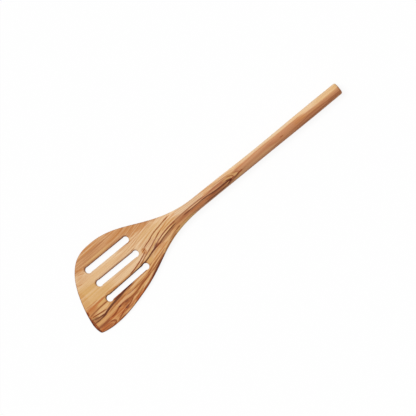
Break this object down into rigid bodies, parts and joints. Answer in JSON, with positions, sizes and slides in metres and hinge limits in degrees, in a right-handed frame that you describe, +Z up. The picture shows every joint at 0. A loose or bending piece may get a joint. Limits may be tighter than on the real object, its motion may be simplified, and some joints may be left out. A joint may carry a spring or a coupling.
{
  "type": "slotted spatula",
  "caption": "Flat slotted turner of figured wood: an asymmetric blade with long drainage slots runs through a smooth neck into a straight round handle.",
  "frame": {"origin": "the middle of the underside: the centre of the bounding box on the surface that the spatula lies on", "axes": "+Z up, +Y along the handle towards its end, +X towards the side of the blade with the pointed front corner"},
  "size_m": [0.0746, 0.32, 0.0124],
  "materials": {
    "olive_wood": "oiled satin, golden tan with dark brown heartwood streaks along the grain"
  },
  "bodies": {
    "root": {"spatula": "olive_wood"}
  },
  "joints": []
}
